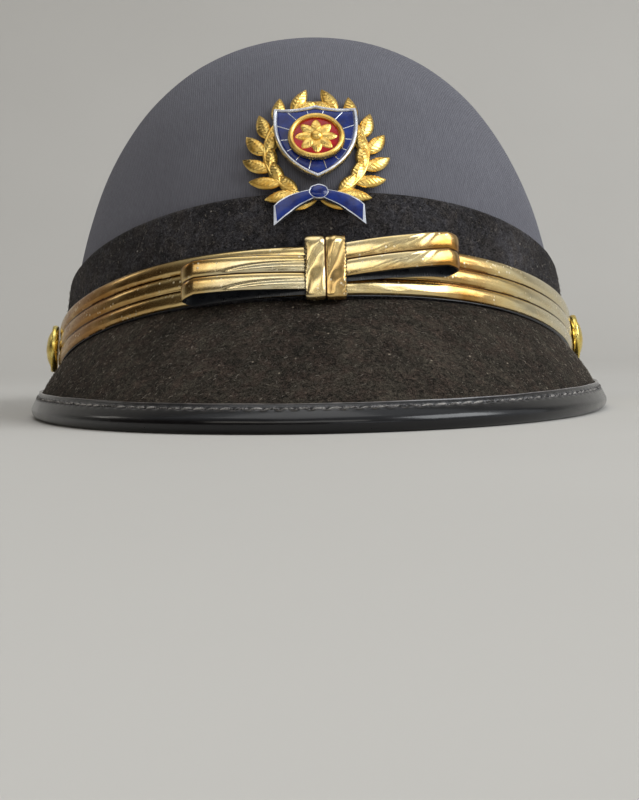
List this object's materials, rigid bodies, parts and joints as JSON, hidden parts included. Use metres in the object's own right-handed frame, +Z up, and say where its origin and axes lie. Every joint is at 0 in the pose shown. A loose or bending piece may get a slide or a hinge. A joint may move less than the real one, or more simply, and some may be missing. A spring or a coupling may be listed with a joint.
{
  "type": "women's peaked uniform cap",
  "caption": "Domed cloth uniform cap with a suede band, short sloping peak with a rolled edge, gilt strap with a flat bow, side buttons and an enamelled front badge.",
  "frame": {"origin": "on the floor, under the middle of the whole cap's box", "axes": "+Z up, the peak points along -Y, +X is the wearer's left"},
  "size_m": [0.1912, 0.2522, 0.126],
  "materials": {
    "grey_cloth": "fine twill gabardine, bluish grey, matt",
    "black_suede": "brushed suede, black with a brown cast, with nap and lint",
    "patent_leather": "glossy black patent leather with one row of stitches",
    "gilt_tape": "metallised gold on a ribbed tape with a black back, lightly scratched",
    "gilt_metal": "gilt, polished on the high parts",
    "blue_enamel": "glossy blue enamel within a silver edge"
  },
  "bodies": {
    "root": {"crown": "grey_cloth", "band": "black_suede", "peak": "black_suede", "peak_binding": "patent_leather", "chin_strap": "gilt_tape", "bow_loop_left": "gilt_tape", "bow_loop_right": "gilt_tape", "bow_knot": "gilt_tape", "button_left": "gilt_metal", "button_right": "gilt_metal", "badge_wreath": "gilt_metal", "badge_shield": "blue_enamel", "badge_medallion": "gilt_metal", "badge_tie": "blue_enamel"}
  },
  "joints": []
}
